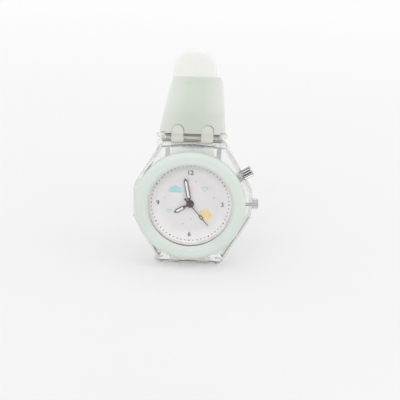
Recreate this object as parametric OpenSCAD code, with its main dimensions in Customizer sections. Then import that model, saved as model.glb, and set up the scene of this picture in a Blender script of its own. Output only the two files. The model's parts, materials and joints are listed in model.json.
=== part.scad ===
// Toy wrist watch with a clear moulded case, a pale bezel and a silicone strap.
// Millimetres. +X is the crown side, -Y is the way the dial faces, +Z is up (12 o'clock).
// The watch stands on the flat of its lower strap, at z = 0.

/* [Case] */
// outer diameter of the bezel
bezel_d = 35.5; // [31:0.5:42]
// width of the bezel ring, seen from the front
bezel_w = 4.35; // [4:0.05:5.4]
// how far the upright side of the clear case at 9 o'clock stands out beyond the bezel
side_out = 0.45; // [0.3:0.05:1.4]
// how far the slanted flanks next to it stand out
flank_out = 0.35; // [0.2:0.05:1]
// how far the upright side at the crown stands out beyond the bezel
crown_side_out = 2.05; // [1.2:0.05:2.4]
// how far the slanted flanks next to the crown stand out
crown_flank_out = 1.35; // [0.8:0.05:1.6]
// how far the end walls at 12 and 6 stand out beyond the bezel
end_out = 1.05; // [0.3:0.05:1.4]
// chamfer on the edges of the clear case
edge_chamfer = 0.8; // [0.3:0.1:1.2]
// how far the bezel laps over the cavity for dial and movement
cavity_lap = 1.1; // [0.9:0.1:1.3]
// thickness of the bezel above the crystal
bezel_cap = 1.2; // [0.8:0.1:1.6]
// thickness of the crystal
crystal_t = 1.4; // [1.2:0.1:1.6]

/* [Strap hinge] */
// outer width over the lugs
lug_w = 22.3; // [21:0.1:24]
// width of one lug
lug_t = 2.6; // [2:0.1:3]
// thickness of the lugs, links and end caps about the hinge pins
knuckle_d = 1.8; // [1.6:0.1:1.9]
// corner cut off the outer end of a lug
lug_cut = 1.4; // [0.6:0.1:1.6]
// chamfer on the outer end of an end cap
cap_cut = 0.5; // [0.2:0.1:0.7]
// gap between the end walls of the case and the strap
pin_out = 0.3; // [0.2:0.05:0.8]
// diameter of the hinge pins
pin_d = 0.8; // [0.6:0.1:1]
// height of the hinge pins above the back of the case
pin_h = 5.4; // [5:0.1:5.8]
// width of one clear link
link_w = 3.84; // [3:0.02:4.4]
// distance from the centre line to the middle of a link
link_x = 4.72; // [4.2:0.02:5]
// thickness of the tongue of a link
tongue_t = 0.8; // [0.5:0.1:0.9]

/* [Strap] */
// thickness of the strap
strap_t = 2.2; // [1.9:0.1:2.6]
// width of the strap at its hinge
strap_end_w = 20.9; // [19:0.1:22]
// width of the strap beyond its taper
strap_w = 15.5; // [13.5:0.1:17]
// straight run of the upper strap above its pin
upper_rise = 6.5; // [5:0.5:9]
// bend of the upper strap over its crest
crest_r = 9; // [8:0.5:11]
// bend of the upper strap down the back
back_r = 21; // [19:0.5:22]
// angle of the bend down the back
back_angle = 75; // [65:1:78]
// straight end of the upper strap, up to the buckle bar
buckle_run = 9; // [8.5:0.5:10]
// flat of the lower strap that the watch stands on
lower_flat = 27; // [26:0.5:34]
// bend of the lower strap from its flat to its tail
heel_r = 15; // [13:0.5:18]
// angle of that bend
heel_angle = 86; // [80:1:88]
// straight tail of the lower strap with its rounded tip
tail_len = 47.5; // [40:0.5:54]
// number of holes in the tail
hole_count = 5; // [3:1:6]
// distance between two holes
hole_pitch = 5.5; // [4.5:0.1:6]
// diameter of a hole
hole_d = 1.8; // [1.4:0.1:2.4]

/* [Buckle] */
// inside length of the buckle frame beyond its bar
buckle_len = 7.4; // [6.5:0.1:8]
// width of the metal of the buckle frame
buckle_metal = 1.6; // [1.2:0.1:2]
// diameter of the buckle bar
bar_d = 1.2; // [1:0.1:1.4]
// diameter of the prong
prong_d = 1.1; // [0.9:0.1:1.3]
// length of the keeper along the strap
keeper_len = 3.6; // [3:0.2:3.8]

/* [Crown and pusher] */
// outer diameter of the crown
crown_d = 4.1; // [3.4:0.1:4.6]
// length of the crown
crown_len = 1.7; // [1.4:0.1:2.6]
// diameter of the winding stem
stem_d = 1; // [0.8:0.1:1.1]
// outer diameter of the pusher head
pusher_d = 3.8; // [3.2:0.1:4.2]
// length of the pusher head
pusher_len = 2.8; // [2.4:0.1:3.4]
// travel of the pusher
pusher_travel = 0.8; // [0.5:0.1:0.8]

/* [Hands] */
// length of the minute hand
minute_len = 8.8; // [7.5:0.1:10]
// length of the hour hand
hour_len = 5.9; // [5:0.1:7]
// length of the second hand
second_len = 9.2; // [8:0.1:11]
// direction of the hour hand, clockwise from 12
hour_at = 239; // [0:1:359]
// direction of the minute hand, clockwise from 12
minute_at = 348; // [0:1:359]
// direction of the second hand, clockwise from 12
second_at = 139; // [0:1:359]

/* [Movement] */
// diameter of the cell of the movement
cell_d = 5.8; // [5.4:0.1:5.8]
// diameter of one cell of the light
light_cell_d = 4.8; // [4.2:0.1:4.8]

/* [Hidden] */

// fits
running_fit = 0.05;
link_gap = 0.15;
side_gap = 0.1;
eps = 0.02;
hair = 0.01;
// longer than any piece, for cuts that run right through
far = 80;

// heights above the back of the case
cover_t = 0.9;
back_ledge = 1.2;
rim_top = 2;
board_back = 3.2;
board_t = 0.5;
holder_back = board_back + board_t;
bridge_back = 3.9;
bridge_t = 0.5;
plate_back = bridge_back + bridge_t;
web_back = 6;
web_front = 6.3;
dial_back = 6.9;
dial_t = 0.5;
dial_front = dial_back + dial_t;
crystal_back = 9.2;
case_h = crystal_back - 0.2;
stem_h = plate_back + 0.8;
crystal_front = crystal_back + crystal_t;
bezel_front = crystal_front + bezel_cap;
boss_front = crystal_front - 0.1;

// radii and widths about the dial axis
bezel_bore_d = bezel_d - 2 * bezel_w;
cavity_r = bezel_bore_d / 2 + cavity_lap;
plain_side = bezel_d / 2 + side_out;
crown_side = bezel_d / 2 + crown_side_out;
plain_flank_r = bezel_d / 2 + flank_out;
flank_r = bezel_d / 2 + crown_flank_out;
end_r = bezel_d / 2 + end_out;
seat_r = cavity_r + 0.5;
cover_r = cavity_r + 0.8;
boss_r = bezel_d / 2 - 1.6;
dial_r = cavity_r - 0.3;
holder_r = cavity_r - 0.2;
movement_d = 19;
movement_r = movement_d / 2;
// the pusher stands square on the upper flank
pusher_angle = 30;
knuckle_r = knuckle_d / 2;
pin_r = end_r + strap_t / 2 + pin_out;
pin_pitch = 2 * knuckle_r + 0.1;

// where the case stands
dial_z = pin_r + strap_t / 2;
pin_y = -(pin_pitch + lower_flat / 2);
case_back_y = pin_y + pin_h;

// places on the movement, in the plane of the dial
third_dist = 3.264;
third_at = 200;
step_dist = 3.22;
step_at = 70;
rotor_dist = step_dist + 2.4;
minute_dist = 2.88;
minute_wheel_at = 20;
cell_dist = movement_r - cell_d / 2 - 0.25;
cell_at = 285;
arbor_d = 0.3;
coil_y = 7.4;
wheel_t = 0.3;
layer_a = 4.45;
layer_b = 4.85;
layer_c = 5.35;
layer_d = 6.35;
layer_e = 6.62;
dial_foot_r = 8.6;

// strap hinge
lug_in = lug_w / 2 - lug_t;
cap_w = lug_t - side_gap;
// the end of the strap lies close to its pin, between the links
strap_edge = pin_pitch + pin_d / 2 + link_gap;
// where its shoulders stand above the end caps, and where it starts to narrow
shoulder_at = pin_pitch + knuckle_r + link_gap;
taper_at = shoulder_at + 0.5;
tongue_run = 1.55;
// depth of a pin's end in its lug or its end cap
pin_seat = 0.9;
pin_len = 2 * (lug_in + pin_seat);
tip_r = strap_w / 2;

// buckle
frame_in = strap_w / 2 + 0.35;
frame_t = 2;
bar_knuckle_r = 1.6;
prong_v = frame_t / 2 + prong_d / 2 + 0.04;
prong_gap = 1.5;

// the plane of the dial: x to 3 o'clock, y to 12 o'clock, z from the back of the case to the front
module in_case() translate([0, case_back_y, dial_z]) rotate([90, 0, 0]) children();

// the hinge frames: y along the strap away from the case pin, z to the outer face of the strap
module at_upper_hinge() translate([0, pin_y, dial_z + pin_r]) rotate([90, 0, 0]) children();
module at_lower_hinge() translate([0, pin_y, dial_z - pin_r]) rotate([0, 180, 0]) children();

module polar(dist, angle) translate([dist * cos(angle), dist * sin(angle), 0]) children();
module rod_x(d, len) rotate([0, 90, 0]) cylinder(d = d, h = len, center = true, $fn = 64);
module disc(r, z0, z1) translate([0, 0, z0]) cylinder(r = r, h = z1 - z0, $fn = 96);
module ring(r_in, r_out, z0, z1) difference() {
    disc(r_out, z0, z1);
    disc(r_in, z0 - 1, z1 + 1);
}
module block(x0, x1, y0, y1, z0, z1) translate([x0, y0, z0]) cube([x1 - x0, y1 - y0, z1 - z0]);
module both_x() for (s = [-1, 1]) mirror([s < 0 ? 1 : 0, 0, 0]) children();

// outline of a toothed wheel: four points to a tooth, the first tooth on the x axis
function tooth_points(n, pitch_r, addendum) = [
    for (i = [0 : n - 1])
        for (p = [[pitch_r - 1.15 * addendum, -0.3], [pitch_r + addendum, -0.11],
                  [pitch_r + addendum, 0.11], [pitch_r - 1.15 * addendum, 0.3]])
            let (a = 360 / n * (i + p[1])) [p[0] * cos(a), p[0] * sin(a)]
];
module wheel(n, modulus, z0, thick, turn = 0) translate([0, 0, z0]) rotate([0, 0, turn])
    linear_extrude(height = thick) polygon(tooth_points(n, n * modulus / 2, 0.85 * modulus));

// strap pieces: a flat bar, and a bend toward the inner face
module strap_bar(len, w) translate([-w / 2, 0, -strap_t / 2]) cube([w, len, strap_t]);
// a straight run beyond a bend, a hair smaller all round, so that its end lies inside the bend
module strap_run(len, w) translate([-w / 2 + hair, -eps, -strap_t / 2 + hair])
    cube([w - 2 * hair, len + eps, strap_t - 2 * hair]);
module strap_bend(r, angle, w) translate([0, 0, -r]) rotate([0, -90, 0])
    rotate_extrude(angle = angle, $fn = 96) translate([r - strap_t / 2, -w / 2]) square([strap_t, w]);
module after_bend(r, angle) translate([0, r * sin(angle), r * cos(angle) - r]) rotate([-angle, 0, 0]) children();

// case

// a cut along the edge of a side, at an angle about the dial axis
module side_cut(dist, angle, z) rotate([0, 0, angle]) translate([dist, 0, z]) rotate([0, 45, 0])
    cube([edge_chamfer * sqrt(2), 80, edge_chamfer * sqrt(2)], center = true);

// where a flank at 30 degrees meets the end wall and the upright side
function end_corner(flank) = (flank - end_r * sin(30)) / cos(30);
function side_corner(flank, side) = (flank - side * cos(30)) / sin(30);
crown_corner = side_corner(flank_r, crown_side);
plain_corner = side_corner(plain_flank_r, plain_side);
case_outline = [[end_corner(flank_r), end_r], [crown_side, crown_corner],
                [crown_side, -crown_corner], [end_corner(flank_r), -end_r],
                [-end_corner(plain_flank_r), -end_r], [-plain_side, -plain_corner],
                [-plain_side, plain_corner], [-end_corner(plain_flank_r), end_r]];
spot_r = flank_r - 0.7;
spring_floor = flank_r - 3.4;

module lug() difference() {
    union() {
        block(lug_in, lug_w / 2, end_r - 3, pin_r, pin_h - knuckle_r + 0.05, pin_h + knuckle_r - 0.05);
        translate([lug_in + lug_t / 2, pin_r, pin_h]) rod_x(knuckle_d - 0.1, lug_t);
    }
    translate([lug_w / 2, pin_r + knuckle_r, pin_h]) rotate([0, 0, 45])
        cube([lug_cut * sqrt(2), lug_cut * sqrt(2), far], center = true);
}

module case_body() color([0.9, 0.94, 0.92, 0.4]) in_case() difference() {
    union() {
        difference() {
            linear_extrude(height = case_h) polygon(case_outline);
            for (z = [0, case_h]) {
                for (a = [30, 330]) side_cut(flank_r, a, z);
                for (a = [150, 210]) side_cut(plain_flank_r, a, z);
                side_cut(crown_side, 0, z);
                side_cut(plain_side, 180, z);
            }
        }
        disc(boss_r, case_h - 1, boss_front);
        for (m = [0, 1]) mirror([0, m, 0]) both_x() lug();
    }
    disc(cover_r + 0.15, -1, back_ledge);
    disc(cavity_r, -1, crystal_front + 1);
    disc(seat_r, crystal_back, crystal_front + 1);
    // bore for the stem
    translate([crown_side, 0, stem_h]) rod_x(stem_d + 2 * running_fit, 16);
    // bore, spring bore and spot face for the pusher
    rotate([0, 0, pusher_angle]) translate([flank_r, 0, stem_h]) {
        rod_x(1.9 + 2 * running_fit, 12);
        translate([spring_floor + 5 - flank_r, 0, 0]) rod_x(3.4, 10);
        translate([spot_r + 5 - flank_r, 0, 0]) rod_x(pusher_d + 0.6, 10);
    }
    for (s = [-1, 1]) translate([0, s * pin_r, pin_h]) rod_x(pin_d, pin_len + 0.1);
}

module bezel_ring() color([0.84, 0.9, 0.86]) in_case() rotate_extrude($fn = 128)
    polygon([[bezel_bore_d / 2, crystal_front], [bezel_bore_d / 2, crystal_front + 0.35],
             [bezel_bore_d / 2 + 0.8, bezel_front - 0.15], [bezel_bore_d / 2 + 1.4, bezel_front],
             [bezel_d / 2 - 1.3, bezel_front], [bezel_d / 2 - 0.45, bezel_front - 0.3],
             [bezel_d / 2, bezel_front - 0.95], [bezel_d / 2, case_h + 0.1],
             [boss_r + 0.1, case_h + 0.1], [boss_r + 0.1, crystal_front]]);

module crystal() color([0.9, 0.95, 1, 0.3]) in_case() disc(seat_r - 0.05, crystal_back, crystal_front);

module dial_flange() color([0.86, 0.86, 0.87]) in_case() rotate_extrude($fn = 128)
    polygon([[bezel_bore_d / 2 - 0.15, dial_front], [dial_r + 0.1, dial_front],
             [dial_r + 0.1, crystal_back], [bezel_bore_d / 2 + 0.1, crystal_back]]);

module dial_plate() color([0.9, 0.89, 0.9]) in_case() {
    ring(1, dial_r, dial_back, dial_front);
    for (a = [150, 330]) polar(dial_foot_r, a) disc(0.4, web_back + 0.2, dial_back + eps);
}

module back_cover() color([0.75, 0.76, 0.78]) in_case() {
    disc(cover_r, 0, cover_t);
    ring(cavity_r - 0.9, cavity_r - 0.15, cover_t - eps, rim_top);
}

module back_gasket() color([0.15, 0.15, 0.16]) in_case() ring(cavity_r + 0.1, cover_r, cover_t, back_ledge);

// strap hinge

module hinge_pin(u) translate([0, u, 0]) rod_x(pin_d, pin_len);
module upper_case_pin() color([0.45, 0.46, 0.48]) at_upper_hinge() hinge_pin(0);
module lower_case_pin() color([0.45, 0.46, 0.48]) at_lower_hinge() hinge_pin(0);
module upper_strap_pin() color([0.45, 0.46, 0.48]) at_upper_hinge() hinge_pin(pin_pitch);
module lower_strap_pin() color([0.45, 0.46, 0.48]) at_lower_hinge() hinge_pin(pin_pitch);

// a link holds both pins, and its tongue lies in a recess of the outer face of the strap
module link() difference() {
    union() {
        rod_x(knuckle_d, link_w);
        translate([0, pin_pitch, 0]) rod_x(knuckle_d, link_w);
        block(-link_w / 2, link_w / 2, 0, pin_pitch, -knuckle_r, knuckle_r);
        block(-link_w / 2, link_w / 2, pin_pitch, pin_pitch + tongue_run, knuckle_r - tongue_t, knuckle_r);
        translate([0, pin_pitch + tongue_run, 0]) disc(link_w / 2, knuckle_r - tongue_t, knuckle_r);
    }
    rod_x(pin_d + 2 * running_fit, link_w + 1);
    translate([0, pin_pitch, 0]) rod_x(pin_d, link_w + 1);
}
// an end cap stands over each lug and holds an end of the strap pin
module end_caps() difference() {
    both_x() translate([lug_w / 2 - cap_w, pin_pitch, 0]) rotate([0, 90, 0]) rotate_extrude($fn = 64)
        polygon([[0, 0], [knuckle_r, 0], [knuckle_r, cap_w - cap_cut], [knuckle_r - cap_cut, cap_w], [0, cap_w]]);
    translate([0, pin_pitch, 0]) rod_x(pin_d, pin_len + 0.1);
}
module link_set() {
    for (s = [-1, 1]) translate([s * link_x, 0, 0]) link();
    end_caps();
}
module upper_links() color([0.88, 0.9, 0.87, 0.7]) at_upper_hinge() link_set();
module lower_links() color([0.88, 0.9, 0.87, 0.7]) at_lower_hinge() link_set();

// what the end of the strap leaves free for the end caps and the links
module hinge_cuts() {
    both_x() block(lug_in, far, 0, shoulder_at, -far / 2, far / 2);
    for (s = [-1, 1]) translate([s * link_x, 0, 0]) {
        // room for the round end of the link
        block(-link_w / 2 - side_gap, link_w / 2 + side_gap, 0, strap_edge + link_gap, -knuckle_r - 1, knuckle_r + 1);
        translate([0, pin_pitch, 0]) rod_x(knuckle_d + 2 * link_gap, link_w + 2 * side_gap);
        block(-link_w / 2 - side_gap, link_w / 2 + side_gap, 0, pin_pitch + tongue_run,
              knuckle_r - tongue_t - side_gap, knuckle_r + 1);
        translate([0, pin_pitch + tongue_run, 0])
            disc(link_w / 2 + side_gap, knuckle_r - tongue_t - side_gap, knuckle_r + 1);
    }
}
// the outline of the tapered end, seen on its outer face, from the points of one edge
module taper(edge) translate([0, 0, -far / 2]) linear_extrude(height = far)
    polygon(concat([[strap_end_w / 2, -5]], edge, [[strap_w / 2, far], [-strap_w / 2, far]],
                   [for (i = [len(edge) - 1 : -1 : 0]) [-edge[i][0], edge[i][1]]], [[-strap_end_w / 2, -5]]));

upper_bend_at = pin_pitch + upper_rise;
// the upper strap narrows evenly along its length, up to the top of its crest
upper_taper_len = upper_bend_at + crest_r * PI / 2 - taper_at;
function upper_half(along) = strap_end_w / 2 - (strap_end_w - strap_w) / 2 * (along - taper_at) / upper_taper_len;
upper_edge = concat([[strap_end_w / 2, taper_at]], [for (a = [0 : 15 : 90])
    [upper_half(upper_bend_at + crest_r * a * PI / 180), upper_bend_at + (crest_r - strap_t / 2) * sin(a)]]);

module strap_upper() color([0.78, 0.83, 0.78]) at_upper_hinge() {
    difference() {
        intersection() {
            union() {
                translate([0, strap_edge, 0]) strap_bar(upper_bend_at - strap_edge, strap_end_w);
                translate([0, upper_bend_at, 0]) strap_bend(crest_r, 90, strap_end_w);
            }
            taper(upper_edge);
        }
        hinge_cuts();
    }
    translate([0, upper_bend_at, 0]) after_bend(crest_r, 90) {
        strap_bend(back_r, back_angle, strap_w);
        after_bend(back_r, back_angle) difference() {
            union() {
                strap_run(buckle_run, strap_w);
                translate([0, buckle_run, 0]) rod_x(2 * bar_knuckle_r, strap_w - 2 * hair);
            }
            translate([0, buckle_run, 0]) rod_x(bar_d + 2 * running_fit, strap_w + 1);
            block(-prong_gap, prong_gap, buckle_run - 2.2, buckle_run + 3, -3, 3);
        }
    }
}

lower_bend_at = pin_pitch + lower_flat;

module strap_lower() color([0.88, 0.9, 0.87]) at_lower_hinge() {
    difference() {
        intersection() {
            translate([0, strap_edge, 0]) strap_bar(lower_bend_at - strap_edge, strap_end_w);
            taper([[strap_end_w / 2, taper_at], [strap_w / 2, lower_bend_at - 2]]);
        }
        hinge_cuts();
    }
    translate([0, lower_bend_at, 0]) {
        strap_bend(heel_r, heel_angle, strap_w);
        after_bend(heel_r, heel_angle) difference() {
            union() {
                strap_run(tail_len - tip_r, strap_w);
                translate([0, tail_len - tip_r, 0]) disc(tip_r - hair, -strap_t / 2 + hair, strap_t / 2 - hair);
            }
            for (i = [0 : hole_count - 1])
                translate([0, tail_len - 12 - i * hole_pitch, 0]) disc(hole_d / 2, -3, 3);
        }
    }
}

// buckle, in a frame with y along the strap beyond its end

module at_buckle() at_upper_hinge() translate([0, upper_bend_at, 0]) after_bend(crest_r, 90)
    after_bend(back_r, back_angle) translate([0, buckle_run, 0]) children();

corner_r = 2.4;
module round_u(half_w, len, r) {
    translate([-half_w, -3]) square([2 * half_w, len - r + 3]);
    translate([-half_w + r, -3]) square([2 * half_w - 2 * r, len + 3]);
    for (s = [-1, 1]) translate([s * (half_w - r), len - r]) circle(r = r, $fn = 48);
}
module buckle_frame() color([0.8, 0.81, 0.83]) at_buckle() difference() {
    union() {
        translate([0, 0, -frame_t / 2]) linear_extrude(height = frame_t) difference() {
            round_u(frame_in + buckle_metal, buckle_len + buckle_metal, corner_r);
            round_u(frame_in, buckle_len, corner_r - 1.2);
            translate([-far / 2, -far]) square([far, far]);
        }
        both_x() translate([frame_in + buckle_metal / 2, 0, 0]) rod_x(frame_t + 0.4, buckle_metal);
    }
    rod_x(bar_d, 2 * frame_in + 2 * buckle_metal - 0.6);
}
module buckle_bar() color([0.6, 0.61, 0.63]) at_buckle() rod_x(bar_d, 2 * frame_in + 2 * buckle_metal - 0.7);
module buckle_prong() color([0.82, 0.83, 0.85]) at_buckle() difference() {
    union() {
        rod_x(3, 2 * prong_gap - 0.4);
        translate([0, 0, prong_v]) rotate([-90, 0, 0])
            cylinder(d = prong_d, h = buckle_len + buckle_metal, $fn = 32);
        translate([0, buckle_len + buckle_metal, prong_v]) sphere(d = prong_d, $fn = 32);
    }
    rod_x(bar_d + 2 * running_fit, 4);
}
keeper_wall = 1;
keeper_gap = 0.12;
module strap_keeper() color([0.78, 0.83, 0.78]) at_buckle() translate([0, -buckle_run + 1.8, 0]) difference() {
    block(-strap_w / 2 - keeper_gap - keeper_wall, strap_w / 2 + keeper_gap + keeper_wall, 0, keeper_len,
          -strap_t / 2 - keeper_gap - keeper_wall, strap_t / 2 + keeper_gap + keeper_wall);
    block(-strap_w / 2 - keeper_gap, strap_w / 2 + keeper_gap, -1, keeper_len + 1,
          -strap_t / 2 - keeper_gap, strap_t / 2 + keeper_gap);
}

// crown and pusher

crown_at = crown_side + 0.15;
module fluted(n, d, len, depth = 0.14) rotate([90, 0, 90]) linear_extrude(height = len)
    polygon(tooth_points(n, d / 2 - depth, depth));
module crown_head() color([0.85, 0.86, 0.88]) in_case() translate([crown_at, 0, stem_h]) difference() {
    union() {
        fluted(22, crown_d, crown_len);
        translate([crown_len, 0, 0]) rod_x(crown_d - 1.2, 0.5);
    }
    rod_x(stem_d, 2 * crown_len - 1);
}
stem_in = 3.8;
groove_at = 7.15;
stem_out = crown_at + crown_len - 0.55;
module crown_stem() color([0.55, 0.56, 0.58]) in_case() translate([0, 0, stem_h]) difference() {
    translate([(stem_in + stem_out) / 2, 0, 0]) rod_x(stem_d, stem_out - stem_in);
    translate([groove_at, 0, 0]) difference() {
        rod_x(stem_d + 1, 0.6);
        rod_x(0.62, 1);
    }
}
module setting_pinion() color([0.8, 0.7, 0.4]) in_case() translate([4.1, 0, stem_h]) difference() {
    fluted(12, 1.5, 0.8, 0.07);
    rod_x(stem_d, 3);
}
// a fork that rides in the groove of the stem
module setting_lever() color([0.6, 0.61, 0.63]) in_case() difference() {
    block(groove_at - 0.22, groove_at + 0.22, -1.3, 1.3, plate_back + 0.1, web_back - 0.1);
    block(groove_at - 1, groove_at + 1, -0.36, 0.36, stem_h - 0.36, web_back + 1);
}

pusher_at = flank_r + 0.2;
pusher_in = cavity_r - 0.75;
leaf_r = pusher_in - pusher_travel - 0.25;
module at_pusher() in_case() rotate([0, 0, pusher_angle]) translate([0, 0, stem_h]) children();
module light_pusher() color([0.7, 0.71, 0.73]) at_pusher() {
    translate([pusher_at, 0, 0]) fluted(14, pusher_d, pusher_len);
    translate([pusher_at + pusher_len, 0, 0]) rod_x(pusher_d - 0.9, 0.4);
    translate([(pusher_in + pusher_at + 0.5) / 2, 0, 0]) rod_x(1.9, pusher_at + 0.5 - pusher_in);
}
// the return spring, at its pressed length, as a wire along a helix
spring_turns = 3;
spring_steps = 72;
spring_sides = 8;
spring_wire_r = 0.15;
spring_coil_r = 1.3;
spring_len = pusher_at - spring_floor - pusher_travel - 0.1;
function spring_point(i, k) = let (
    a = 360 * spring_turns * i / spring_steps,
    b = 360 * k / spring_sides,
    r = spring_coil_r + spring_wire_r * cos(b)
) [r * cos(a), r * sin(a),
   spring_wire_r * (1 + sin(b)) + (spring_len - 2 * spring_wire_r) * i / spring_steps];
spring_turn = spring_steps / spring_turns;
// least gap between two turns, from points on the inner side of the wire
spring_gap = min([for (i = [0 : spring_steps - spring_turn])
    norm(spring_point(i + spring_turn, 0) - spring_point(i, 0)) - 2 * spring_wire_r]);
echo(spring_gap = spring_gap);
module pusher_spring() color([0.6, 0.61, 0.63]) at_pusher() translate([spring_floor, 0, 0]) rotate([0, 90, 0])
    polyhedron(
        points = [for (i = [0 : spring_steps]) for (k = [0 : spring_sides - 1]) spring_point(i, k)],
        faces = concat(
            [for (i = [0 : spring_steps - 1]) for (k = [0 : spring_sides - 1])
                let (k2 = (k + 1) % spring_sides)
                [i * spring_sides + k, (i + 1) * spring_sides + k,
                 (i + 1) * spring_sides + k2, i * spring_sides + k2]],
            [[for (k = [0 : spring_sides - 1]) k]],
            [[for (k = [spring_sides - 1 : -1 : 0]) spring_steps * spring_sides + k]]));

// hands, drawn toward 12 and turned clockwise

module hand_at(angle, z, thick) in_case() rotate([0, 0, -angle]) translate([0, 0, z])
    linear_extrude(height = thick) children();
hour_z = 7.7;
minute_z = 8.1;
second_z = 8.5;
hand_t = 0.2;
second_arbor_r = 0.2;
module blade(w, neck, len) {
    polygon([[-0.25, 0], [0.25, 0], [0.25, neck], [w / 2, neck + 0.6], [w / 2, len - 0.9], [0, len],
             [-w / 2, len - 0.9], [-w / 2, neck + 0.6], [-0.25, neck]]);
}
module hour_hand() color([0.25, 0.23, 0.22]) hand_at(hour_at, hour_z, hand_t) difference() {
    union() {
        circle(r = 1.25, $fn = 48);
        blade(1.15, 1.8, hour_len);
    }
    circle(r = 0.85, $fn = 48);
}
module minute_hand() color([0.25, 0.23, 0.22]) hand_at(minute_at, minute_z, hand_t) difference() {
    union() {
        circle(r = 1.05, $fn = 48);
        blade(1.2, 1.4, minute_len);
    }
    circle(r = 0.5, $fn = 48);
}
module second_hand() color([0.25, 0.23, 0.22]) {
    hand_at(second_at, second_z, hand_t) difference() {
        union() {
            polygon([[-0.12, 0], [0.12, 0], [0.1, second_len], [-0.1, second_len]]);
            // the short broad tail
            polygon([[-0.22, 0], [-0.32, -2.5], [-0.2, -2.7], [0.2, -2.7], [0.32, -2.5], [0.22, 0]]);
            polygon([[0, 4.4], [0.5, 5.3], [0.5, 5.9], [0, 6.8], [-0.5, 5.9], [-0.5, 5.3]]);
            circle(r = 0.9, $fn = 48);
        }
        polygon([[0, 4.9], [0.28, 5.4], [0.28, 5.8], [0, 6.3], [-0.28, 5.8], [-0.28, 5.4]]);
        circle(r = second_arbor_r, $fn = 96);
    }
    in_case() disc(0.95, second_z + hand_t - eps, second_z + hand_t + 0.15);
}

// movement

module movement_holder() color([0.93, 0.93, 0.92]) in_case() difference() {
    union() {
        ring(movement_r + 0.15, holder_r, holder_back, dial_back);
        ring(holder_r - 0.5, holder_r, rim_top, holder_back + eps);
    }
    block(movement_r - 2, holder_r + 1, -stem_d / 2 - 0.3, stem_d / 2 + 0.3, stem_h - stem_d / 2 - 0.3, dial_back + 1);
    rotate([0, 0, pusher_angle]) block(leaf_r - 1.3, holder_r + 1, -1.8, 1.8, holder_back - 2, dial_back + 1);
}

module pivots(z0, z1, d) {
    polar(third_dist, third_at) disc(d / 2, z0, z1);
    polar(step_dist, step_at) disc(d / 2, z0, z1);
    polar(rotor_dist, step_at) disc(d / 2, z0, z1);
}
pivot_d = arbor_d + 2 * running_fit;
cell_pocket_r = cell_d / 2 + 0.05;
chip_x = -6.2;
chip_y = -4.6;
can_x = -7.3;
can_len = 4.6;

module main_plate() color([0.2, 0.22, 0.24]) in_case() difference() {
    disc(movement_r, plate_back, dial_back);
    // train space, open to the back
    disc(3.2, plate_back - 1, web_back);
    polar(third_dist, third_at) disc(3.15, plate_back - 1, web_back);
    polar(step_dist, step_at) disc(2.3, plate_back - 1, web_back);
    block(-4.95, 4.95, 3.6, coil_y + 0.5, plate_back - 1, web_back);
    block(-3.75, 3.75, coil_y - 0.8, coil_y + 0.8, plate_back - 1, web_back);
    block(3, movement_r + 1, -1.5, 1.5, plate_back - 1, web_back);
    polar(cell_dist, cell_at) disc(cell_pocket_r, plate_back - 1, web_back);
    block(can_x - 0.8, can_x + 0.8, -can_len / 2 - 0.2, can_len / 2 + 0.2, plate_back - 1, web_back);
    block(chip_x - 1.1, chip_x + 1.1, chip_y - 1.1, chip_y + 1.1, plate_back - 1, plate_back + 0.6);
    // motion work, open to the dial
    disc(2.6, web_front, dial_back + 1);
    polar(minute_dist, minute_wheel_at) disc(2.45, web_front, dial_back + 1);
    disc(0.58, web_back - 1, web_front + 1);
    pivots(web_back - 1, web_back + 0.2, pivot_d);
    polar(minute_dist, minute_wheel_at) disc(pivot_d / 2, web_back + 0.05, web_front + 1);
    for (a = [150, 330]) polar(dial_foot_r, a) disc(0.42, web_back + 0.1, dial_back + 1);
}
board_edge = -4.4;
module train_bridge() color([0.72, 0.73, 0.75]) in_case() difference() {
    disc(movement_r - 0.1, bridge_back, plate_back);
    block(-far, board_edge + 0.1, -far, far, bridge_back - 1, plate_back + 1);
    polar(cell_dist, cell_at) disc(cell_pocket_r, bridge_back - 1, plate_back + 1);
    pivots(bridge_back - 1, plate_back + 1, pivot_d);
    disc(0.2 + running_fit, bridge_back - 1, plate_back + 1);
}
module circuit_board() color([0.13, 0.4, 0.25]) in_case() intersection() {
    disc(movement_r - 0.1, bridge_back, plate_back);
    block(-far, board_edge, -far, far, bridge_back - 1, plate_back + 1);
}
module timer_chip() color([0.1, 0.1, 0.1]) in_case()
    block(chip_x - 1, chip_x + 1, chip_y - 1, chip_y + 1, plate_back, plate_back + 0.5);
module quartz_can() color([0.75, 0.76, 0.78]) in_case() translate([can_x, 0, plate_back + 0.7])
    rotate([90, 0, 0]) cylinder(r = 0.7, h = can_len, center = true, $fn = 48);
module time_cell() color([0.8, 0.8, 0.82]) in_case() polar(cell_dist, cell_at) {
    disc(cell_d / 2, bridge_back, web_back - 0.3);
    disc(cell_d / 2 - 0.5, web_back - 0.3 - eps, web_back);
}
module cell_strap() color([0.78, 0.72, 0.5]) in_case() rotate([0, 0, cell_at])
    block(cell_dist - 0.7, cell_dist + 0.7, -cell_d / 2 - 1.1, cell_d / 2 + 1.1, bridge_back - 0.15, bridge_back);

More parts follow.
